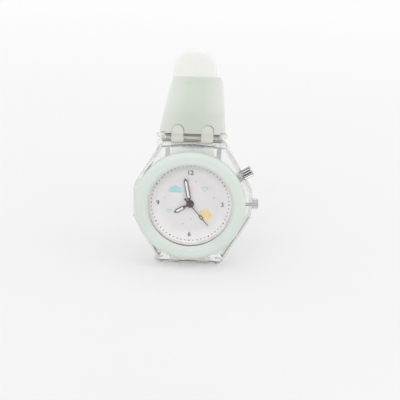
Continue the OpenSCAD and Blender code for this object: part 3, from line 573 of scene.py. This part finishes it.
def strapStart(x):
    # the strap's end lies by its pin, and further back over the end caps and in the lanes of the links
    s = strap
    lane = np.abs(np.abs(x) - s["linkX"]) < s["linkHalf"]
    return np.where(lane | (np.abs(x) > s["capIn"]), s["backAt"], s["edgeAt"])


def startRows(x):
    # rows from the strap's end up to the line where they run straight across, closer together toward the end
    s = strap
    start = strapStart(x)
    share = np.linspace(0, 1, s["startRows"]) ** s["startPower"]
    return start + (s["evenAt"] - start) * share[:, None], start


upper = {"rise": 6.5, "crest": 9.0, "back": 21.0, "backAngle": 75.0, "run": 9.0, "knuckle": 1.6,
         "slotHalf": 1.5, "slotBack": 2.2, "sideEdge": 0.3, "sideFrom": 2.0, "sideThin": 0.1, "sway": 1.0,
         "swayStop": 8.0, "endRun": 5.0, "endRows": 34, "endPower": 0.7}


def makeUpperStrap():
    # a slab on a path that rises, turns over the crest and runs down the back to the buckle bar, where it
    # swells to a round knuckle with a slot for the prong
    s, p = strap, upper
    crestAt = pinPitch + p["rise"]
    crestArc, backArc = p["crest"] * math.pi / 2, math.radians(p["backAngle"]) * p["back"]
    runs = [(crestAt, None), (crestArc, p["crest"]), (backArc, p["back"]), (p["run"], None)]
    barAt = sum(r[0] for r in runs)
    path = {"start": (pinUpper[1], pinUpper[2]), "heading": 90.0, "turn": -1, "runs": runs, "sway": p["sway"],
            "swayEnd": barAt - p["run"] - p["swayStop"]}
    slotShare = p["slotHalf"] / s["half"] * s["hingeHalf"]
    share = hingeColumns([slotShare - 0.04, slotShare + 0.04])
    first, start = startRows(share * s["hingeHalf"])
    endAt = barAt - p["endRun"]
    centre = steps((s["evenAt"], 0.5), (endAt, 1))[1:-1]
    inSlot = np.abs(share * s["half"]) <= p["slotHalf"]
    stop = np.where(inSlot, barAt - p["slotBack"], barAt + p["knuckle"] - s["least"])
    last = endAt + (stop - endAt) * np.linspace(0, 1, p["endRows"])[:, None] ** p["endPower"]
    u = np.concatenate([first, np.repeat(centre[:, None], len(share), 1), last])
    half = halfWidth(u, crestAt + crestArc)
    flat = np.stack([(share * half).ravel(), u.ravel()], 1)
    fx, fu, fh = flat[:, 0], flat[:, 1], half.ravel()
    body = hingeHeights(fx, fu, fh, np.broadcast_to(start, u.shape).ravel())
    past = fu - barAt
    ring = np.sqrt(np.maximum(p["knuckle"] ** 2 - past ** 2, 0.0))
    swollen = body + np.maximum(ring - s["thick"] / 2, 0)
    thick = np.where(past > 0, np.minimum(ring, swollen), swollen)
    sideEase = roundedEdge(fh - np.abs(fx), p["sideEdge"], p["sideEdge"]) / p["sideEdge"]
    thick = thick * np.where(past > -p["sideFrom"], 1 - p["sideThin"] * (1 - sideEase), 1)
    thick = np.maximum(thick, s["least"])
    points, faces = slab(flat, gridFaces(*u.shape), thick - linkRecess(fx, fu), -thick, carryOn(path))
    piece = addPiece("strapUpper", points, faces, "upper_strap", strapFinish)
    across = piece.data.attributes.new("across", "FLOAT", "POINT")
    across.data.foreach_set("value", np.tile(np.abs(fx) / fh, 2).astype(np.float32))
    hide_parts("strap_upper")
    return path, barAt


lip = {"from": 0.35, "to": 3.1, "front": -0.62, "back": -1.08, "clear": 0.14, "edge": 0.16, "least": 0.02}


def makeLip(path):
    # thin flat tongues of the strap behind its pins, one on each side of every link, with softened edges
    s, p = strap, lip
    inner = s["linkX"] - s["linkHalf"] - p["clear"]
    outer = s["linkX"] + s["linkHalf"] + p["clear"]
    side = s["capIn"] - p["clear"]
    mid, full = (p["front"] + p["back"]) / 2, (p["front"] - p["back"]) / 2
    ease = p["edge"] * (1 - np.cos(np.linspace(0, math.pi / 2, 6)))
    u = np.concatenate([p["from"] + ease[:-1], np.linspace(p["from"] + p["edge"], p["to"], 10)])
    points, faces, base = [], [], 0
    for left, right in ((-side, -outer), (-inner, inner), (outer, side)):
        even = np.linspace(left + p["edge"], right - p["edge"], 14)
        x = np.concatenate([left + ease[:-1], even, right - ease[-2::-1]])
        gridU, gridX = np.meshgrid(u, x, indexing="ij")
        flat = np.stack([gridX.ravel(), gridU.ravel()], 1)
        rim = np.minimum(np.minimum(flat[:, 0] - left, right - flat[:, 0]), flat[:, 1] - p["from"])
        thick = np.maximum(roundedEdge(rim, p["edge"], full), p["least"])
        shape, sides = slab(flat, gridFaces(*gridU.shape), mid + thick, mid - thick, carryOn(path))
        points.append(shape)
        faces.append(sides + base)
        base += len(shape)
    # the tongues take the paler copy of the silicone: painted light
    addPiece("strapLip", np.concatenate(points), np.concatenate(faces), "upper_strap",
             paleLitFinish)


lower = {"flat": 27.0, "heel": 15.0, "heelAngle": 86.0, "tail": 47.5, "taperEnd": 26.9, "tipLong": 9.2,
         "tipPower": 2.4, "lean": -0.55, "holes": 5, "holePitch": 5.5, "holeD": 1.8, "holeFirst": 12.0,
         "holeEdge": 0.25, "cells": 8}


def holePatch(flatX, flatU, centre, radius):
    # lines from the points of a square to a ring, set close together toward the ring
    out = np.stack([flatX, flatU - centre], 1)
    angle = np.arctan2(out[:, 1], out[:, 0])
    ring = radius * np.stack([np.cos(angle), np.sin(angle)], 1)
    share = np.concatenate([np.linspace(0, 0.78, 5), [0.86, 0.91, 0.95, 0.975, 0.99, 1.0]])
    grid = out[None] * (1 - share[:, None, None]) + ring[None] * share[:, None, None]
    grid[..., 1] += centre
    return grid


def makeLowerStrap():
    # a slab that lies flat under the case, turns up at the heel and stands as the tail, with round holes;
    # its tip is a superellipse
    s, p = strap, lower
    heelAt = pinPitch + p["flat"]
    arc = math.radians(p["heelAngle"]) * p["heel"]
    tipAt = heelAt + arc + p["tail"]
    path = {"start": (pinLower[1], pinLower[2]), "heading": 0.0, "turn": 1, "sway": p["lean"],
            "swayEnd": 2 * tipAt, "runs": [(heelAt, None), (arc, p["heel"]), (p["tail"], None)]}
    tipStart, power = tipAt - p["tipLong"], p["tipPower"]
    cell, step = p["holePitch"] / 2, p["holePitch"] / p["cells"]
    share = hingeColumns([cell / s["half"] * s["hingeHalf"]])
    first, _ = startRows(share * s["hingeHalf"])
    holeAt = tipAt - p["holeFirst"] - p["holePitch"] * np.arange(p["holes"])
    low, high = holeAt[-1] - cell, holeAt[0] + cell
    plain = steps((s["evenAt"], 0.7), (low, step), (high, 0.5), (tipStart, 1))[1:]
    theta = np.radians(np.concatenate([np.linspace(4, 80, 28), [82, 84, 85.5, 87, 88]]))
    tipU = tipStart + p["tipLong"] * np.sin(theta) ** (2 / power)
    tipHalf = s["half"] * np.cos(theta) ** (2 / power)
    rows = np.concatenate([plain, tipU])
    u = np.concatenate([first, np.repeat(rows[:, None], len(share), 1)])
    half = halfWidth(u, p["taperEnd"])
    half[-len(theta):] = tipHalf[:, None]
    flat = np.stack([(share * half).ravel(), u.ravel()], 1)
    faces = gridFaces(*u.shape)
    mid = flat[faces].mean(1)
    holed = (np.abs(mid[:, 0]) < cell) & (mid[:, 1] > low) & (mid[:, 1] < high)
    parts, kept = [flat], [faces[~holed]]
    inside = np.abs(share * s["half"]) <= cell + 0.001
    across = share[inside] * s["half"]
    wide, tall = len(across) - 1, p["cells"]
    for c in holeAt:
        up = c - cell + step * np.arange(tall + 1)
        loopX = np.concatenate([across[:-1], np.full(tall, cell), across[:0:-1], np.full(tall, -cell)])
        loopU = np.concatenate([np.full(wide, c - cell), up[:-1], np.full(wide, c + cell), up[:0:-1]])
        grid = holePatch(loopX, loopU, c, p["holeD"] / 2)
        kept.append(gridFaces(*grid.shape[:2], wrapCols=True) + sum(len(q) for q in parts))
        parts.append(grid.reshape(-1, 2))
    flat, faces = weld(np.concatenate(parts), np.concatenate(kept))
    fx, fu = flat[:, 0], flat[:, 1]
    thick = hingeHeights(fx, fu, halfWidth(fu, p["taperEnd"]), strapStart(fx))
    past = np.maximum(fu - tipStart, 0) / p["tipLong"]
    inset = s["half"] * (1 - (np.abs(fx / s["half"]) ** power + past ** power) ** (1 / power))
    thick = np.where(fu > tipStart, roundedEdge(inset, s["edge"], s["thick"] / 2), thick)
    nearest = np.min(np.hypot(fx[:, None], fu[:, None] - holeAt[None]), 1) - p["holeD"] / 2
    thick = np.minimum(thick, roundedEdge(nearest, p["holeEdge"], s["thick"] / 2))
    thick = np.maximum(thick, s["least"])
    points, faces = slab(flat, faces, thick - linkRecess(fx, fu), -thick, carryOn(path))
    # the lower strap takes the paler copy of the silicone: painted light
    piece = addPiece("strapLower", points, faces[:, ::-1], "lower_strap", paleLitFinish)
    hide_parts("strap_lower")


def roundedRect(halfX, halfY, radius, count):
    # four quarter circles of equal steps, joined by straight sides; also gives the outward direction
    turn = np.radians(np.linspace(0, 90, count))
    angles = np.concatenate([turn + k * math.pi / 2 for k in range(4)])
    signX = np.repeat([1, -1, -1, 1], count)
    signY = np.repeat([1, 1, -1, -1], count)
    out = np.stack([np.cos(angles), np.sin(angles)], 1)
    centre = np.stack([signX * (halfX - radius), signY * (halfY - radius)], 1)
    return centre + radius * out, out


keeper = {"length": 3.6, "wall": 1.0, "gap": 0.12, "fromBar": 5.4, "corner": 0.95, "soft": 4.5}


def makeKeeper(path, barAt):
    # a soft oblong section, a superellipse, carried round a rounded rectangle about the strap
    k = keeper
    halfX = strap["half"] + k["gap"] + k["wall"] / 2
    halfY = strap["thick"] / 2 + k["gap"] + k["wall"] / 2
    ring, out = roundedRect(halfX, halfY, k["corner"], 12)
    t = np.linspace(0, 2 * math.pi, 40, endpoint=False)
    a = k["length"] / 2 * np.sign(np.cos(t)) * np.abs(np.cos(t)) ** (2 / k["soft"])
    b = k["wall"] / 2 * np.sign(np.sin(t)) * np.abs(np.sin(t)) ** (2 / k["soft"])
    x = ring[:, None, 0] + out[:, None, 0] * b
    height = ring[:, None, 1] + out[:, None, 1] * b
    u = np.broadcast_to(barAt - k["fromBar"] + a, x.shape)
    points = carryOn({**path, "sway": 0.0})(np.stack([x.ravel(), u.ravel()], 1), height.ravel())
    faces = gridFaces(*x.shape, wrapRows=True, wrapCols=True)
    piece = addPiece("strapKeeper", points, faces[:, ::-1], "keeper", strapFinish)
    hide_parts("strap_keeper")


upperPath, barAt = makeUpperStrap()
makeLip(upperPath)
makeLowerStrap()
makeKeeper(upperPath, barAt)
print("strap pieces made, buckle bar at", round(barAt, 3), "along the upper strap")


# Dial print and hands

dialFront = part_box("dial_plate")[0].y / mm
printing = {"ink": (0.36, 0.345, 0.35), "raise": 0.03, "sink": 0.01, "numeralR": 10.35, "numeralSize": 2.1,
            "numeralBold": 0.035, "dotR": 12.5, "dot": 0.18, "hourDot": 0.24}


def inkFinish(name, colour, vary):  # matt ink with a very fine grain
    return finish(name, colour, 0.45, vary=vary, scale=900.0, bump=0.08, grain=6000.0, depth=0.01)


darkInk = inkFinish("darkInk", printing["ink"], 0.12)


def onDial(x, z, raised):
    # flat drawing on the dial: x to 3 o'clock, z to 12 o'clock, raised toward the viewer
    return np.stack([x + dialCentre[0], dialFront - raised, z + dialCentre[2]], -1)


def inkShape(outlineX, outlineZ, inner=None):
    # rings from an inner outline, or from a small one at the middle, to the outline; the edge drops to the dial
    n = len(outlineX)
    if inner is None:
        cx, cz = outlineX.mean(), outlineZ.mean()
        innerX, innerZ = cx + (outlineX - cx) * 0.02, cz + (outlineZ - cz) * 0.02
        share = np.array([0.0, 0.5, 0.97, 1.0, 1.0])
        lift = np.array([1.0, 1.0, 1.0, 0.6, -0.3])
    else:
        innerX, innerZ = inner
        share = np.array([0.0, 0.0, 0.1, 0.9, 1.0, 1.0])
        lift = np.array([-0.3, 0.6, 1.0, 1.0, 0.6, -0.3])
    x = innerX + (outlineX - innerX) * share[:, None]
    z = innerZ + (outlineZ - innerZ) * share[:, None]
    raised = np.repeat(lift[:, None] * printing["raise"], n, 1)
    points = onDial(x, z, raised).reshape(-1, 3)
    faces = gridFaces(len(share), n, wrapRows=inner is not None, wrapCols=True)[:, ::-1].tolist()
    if inner is None:
        lowest = (len(share) - 1) * n
        faces += [list(range(n)), list(range(lowest, lowest + n))[::-1]]
    return points, faces


def joinShapes(name, shapes, material):
    # one piece of printing from several shapes
    points, faces, base = [], [], 0
    for p, f in shapes:
        points.append(p)
        faces += [[i + base for i in q] for q in f]
        base += len(p)
    mesh = bpy.data.meshes.new(name)
    mesh.from_pydata((np.concatenate(points) * mm).tolist(), [], faces)
    mesh.materials.append(material)
    piece = addObject(name, mesh)
    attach(piece, "case")


def circleLine(x, z, r, n=16):  # a circle of n points
    t = np.linspace(0, 2 * math.pi, n, endpoint=False)
    return x + r * np.cos(t), z + r * np.sin(t)


def minuteDots():
    # sixty dots on a circle, the fifth ones larger
    a = np.radians(np.arange(60) * 6.0)
    size = np.where(np.arange(60) % 5 == 0, printing["hourDot"], printing["dot"])
    return [inkShape(*circleLine(printing["dotR"] * math.sin(t), printing["dotR"] * math.cos(t), r, 10))
            for t, r in zip(a, size)]


joinShapes("minuteTrack", minuteDots(), darkInk)


def makeNumerals():
    # plain numbers, made a mesh first and then set on the dial
    p = printing
    points, faces, base = [], [], 0
    for k, word in enumerate(("12", "3", "6", "9")):
        text = bpy.data.curves.new("numeral", "FONT")
        text.body, text.size, text.align_x, text.align_y = word, p["numeralSize"], "CENTER", "CENTER"
        text.extrude, text.resolution_u, text.offset = p["raise"] / 2, 4, p["numeralBold"]
        holder = addObject("numeral", text)
        bpy.context.view_layer.update()
        mesh = bpy.data.meshes.new_from_object(holder.evaluated_get(bpy.context.evaluated_depsgraph_get()))
        co = np.zeros(len(mesh.vertices) * 3)
        mesh.vertices.foreach_get("co", co)
        co = co.reshape(-1, 3)
        co[:, :2] -= (co[:, :2].min(0) + co[:, :2].max(0)) / 2
        a = math.radians(90.0 * k)
        points.append(onDial(co[:, 0] + p["numeralR"] * math.sin(a), co[:, 1] + p["numeralR"] * math.cos(a),
                             co[:, 2] + p["raise"] / 2 - p["sink"]))
        faces += [[i + base for i in q.vertices] for q in mesh.polygons]
        base += len(co)
        bpy.data.objects.remove(holder)
        bpy.data.meshes.remove(mesh)
    joinShapes("dialNumerals", [(np.concatenate(points), faces)], darkInk)


makeNumerals()

motifs = {"sun": (5.0, -3.6, 1.95, 0.34, 11), "sunInk": (0.95, 0.88, 0.67),
          "cloud": (-4.9, 4.3, 1.0), "cloudInk": (0.72, 0.87, 0.885),
          "hearts": ((4.6, 5.0, 0.95), (-6.6, -2.6, 0.7)), "heartOpen": 0.68, "skyInk": (0.66, 0.81, 0.90),
          "dots": ((7.6, 2.2, 0.22), (-2.2, -6.9, 0.26), (1.8, 7.3, 0.2), (-8.3, 1.6, 0.2), (0.6, -5.2, 0.16)),
          "inkVary": 0.08}


def sunLine(x, z, r, wave, rays, n=132):
    # a circle whose radius swings once for each ray
    t = np.linspace(0, 2 * math.pi, n, endpoint=False)
    radius = r + wave * np.cos(rays * t)
    return x + radius * np.cos(t), z + radius * np.sin(t)


def cloudLine(x, z, k, n=120):
    # the farthest point, in each direction, of four circles that all hold the middle
    t = np.linspace(0, 2 * math.pi, n, endpoint=False)
    d = np.stack([np.cos(t), np.sin(t)], 1)
    reach = np.zeros(n)
    for cx, cz, r in ((-1.05, -0.1, 1.12), (0.0, 0.55, 1.15), (1.1, -0.05, 1.16), (0.2, -0.25, 0.8)):
        mid = d @ np.array([cx, cz])
        reach = np.maximum(reach, mid + np.sqrt(np.maximum(r * r - (cx * cx + cz * cz - mid * mid), 0)))
    zz = np.maximum(reach * d[:, 1], -0.72)
    return x + k * reach * d[:, 0], z + k * zz


def heartLine(x, z, k, n=64):
    # sine cubed across, and a sum of four cosines up
    t = np.linspace(0, 2 * math.pi, n, endpoint=False)[::-1]
    up = (13 * np.cos(t) - 5 * np.cos(2 * t) - 2 * np.cos(3 * t) - np.cos(4 * t)) / 16
    return x + k * np.sin(t) ** 3, z + k * (up + 0.1)


def makeMotifs():
    # a sun, a cloud, and open hearts with dots, each in its own ink
    m = motifs
    sun, cloud = [inkShape(*sunLine(*m["sun"]))], [inkShape(*cloudLine(*m["cloud"]))]
    sky = [inkShape(*heartLine(x, z, k), inner=heartLine(x, z, k * m["heartOpen"])) for x, z, k in m["hearts"]]
    sky += [inkShape(*circleLine(*dot)) for dot in m["dots"]]
    for name, shapes, ink in (("printedSun", sun, "sunInk"), ("printedCloud", cloud, "cloudInk"),
                              ("printedSky", sky, "skyInk")):
        joinShapes(name, shapes, inkFinish(ink, m[ink], m["inkVary"]))


makeMotifs()

lumeFinish = finish("lumeFill", (0.975, 0.965, 0.97), 0.5, vary=0.03, scale=1500.0, bump=0.1)
lume = {"hour": {"angle": 239.0, "node": "hour_hand", "body": "hours", "start": 2.5, "end": 5.15, "half": 0.34},
        "minute": {"angle": 348.0, "node": "minute_hand", "body": "minutes", "start": 2.15, "end": 8.05,
                   "half": 0.36}}
lumePillow = {"high": 0.05, "sink": 0.01, "under": 0.03}


def makeLume(name, angle, node, body, start, end, half):
    # a low pillow on the hand: straight sides, a drawn-in point, highest along its middle
    p = lumePillow
    s, v = np.meshgrid(np.linspace(0, 1, 40), np.linspace(-1, 1, 13), indexing="ij")
    width = half * np.minimum(1, np.minimum((1 - s) * 9 + 0.25, s * 14 + 0.35))
    front = -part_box(node)[0].y / mm + dialFront
    lift = front + p["high"] * (1 - v ** 4) * np.minimum(1, np.minimum(s, 1 - s) * 30) - p["sink"]
    flat = np.stack([(v * width).ravel(), (start + (end - start) * s).ravel()], 1)
    sine, cosine = math.sin(math.radians(angle)), math.cos(math.radians(angle))

    def turned(f, height):  # from along the hand to the dial, clockwise from 12 o'clock
        return onDial(f[:, 0] * cosine + f[:, 1] * sine, f[:, 1] * cosine - f[:, 0] * sine, height)

    under = np.full(s.size, front - p["under"])
    points, faces = slab(flat, gridFaces(*s.shape), lift.ravel(), under, turned)
    addPiece(name + "Lume", points, faces, body, lumeFinish)


for hand, settings in lume.items():
    makeLume(hand, **settings)
print("dial print and hands done")


# Studio

studio = {"floorGrey": 0.85, "floorVary": 0.01, "floorLift": 0.92, "liftFrom": (0.0, -0.12, 0.0),
          "liftReach": 0.72, "liftPower": 0.5, "worldLight": 0.925, "front": -1.6, "side": 2.0, "wallTop": 1.6,
          "sweepAt": 0.95, "sweepR": 0.35}
lamps = {"keyLamp": {"place": (-0.25, -0.62, 0.52), "size": 0.5, "power": 0.95},
         "fillLamp": {"place": (0.5, -0.3, 0.4), "size": 0.5, "power": 0.45}}
lampAim = (0, 0, 0.03)


def makeFloor(s):
    # a flat floor that turns up behind on a quarter circle into a wall; away from the watch it is seen whiter
    turn = np.linspace(0, math.pi / 2, 16)
    wallAt = s["sweepAt"] + s["sweepR"]
    y = np.concatenate([[s["front"], 0.0], s["sweepAt"] + s["sweepR"] * np.sin(turn), [wallAt]])
    z = np.concatenate([[0.0, 0.0], s["sweepR"] * (1 - np.cos(turn)), [s["wallTop"]]])
    x = np.linspace(-s["side"], s["side"], 9)
    points = np.stack(np.broadcast_arrays(x[None, :], y[:, None], z[:, None]), -1).reshape(-1, 3)
    mesh = bpy.data.meshes.new("studioFloor")
    mesh.from_pydata(points.tolist(), [], gridFaces(len(y), len(x)).tolist())
    mesh.shade_smooth()
    floor = addObject("studioFloor", mesh)
    t = Tree("paleFloor")
    darker, paler = ((s["floorGrey"] + k * s["floorVary"],) * 3 for k in (-1, 1))
    t.colour(t.blend(t.spread(t.noise(6.0), 0, 1), darker, paler))
    t.set(Roughness=0.8, Specular_IOR_Level=0.1)
    away = t.awayFrom(s["liftFrom"], scale=(1, 1, 0))
    rise = t.add("ShaderNodeMath", operation="POWER")
    t.join(t.spread(away, 0.0, 1.0, 0.0, s["liftReach"]), rise.inputs[0])
    rise.inputs[1].default_value = s["liftPower"]
    t.liftForSight(t.spread(rise.outputs[0], 0.0, s["floorLift"], 0.0, 1.0))
    mesh.materials.append(t.material)


def makeWorld(s):
    # an even white room; what the camera, metal and glass see of it is plain white
    world = bpy.data.worlds.new("whiteRoom")
    bpy.context.scene.world = world
    world.use_nodes = True
    tree = world.node_tree
    ground = tree.nodes["Background"]
    level = tree.nodes.new("ShaderNodeMapRange")
    level.inputs["To Min"].default_value = s["worldLight"]
    level.inputs["To Max"].default_value = 1.0
    tree.links.new(seenRays(tree), level.inputs["Value"])
    ground.inputs["Color"].default_value = (1, 1, 1, 1)
    tree.links.new(level.outputs["Result"], ground.inputs["Strength"])


def addLamp(name, place, size, power):  # a round lamp that faces the watch
    data = bpy.data.lights.new(name, "AREA")
    data.shape, data.size, data.energy = "DISK", size, power
    lamp = addObject(name, data)
    lamp.location = place
    lamp.rotation_euler = (Vector(lampAim) - Vector(place)).to_track_quat("-Z", "Y").to_euler()


makeFloor(studio)
makeWorld(studio)
for name, settings in lamps.items():
    addLamp(name, **settings)
print("floor and lights set")
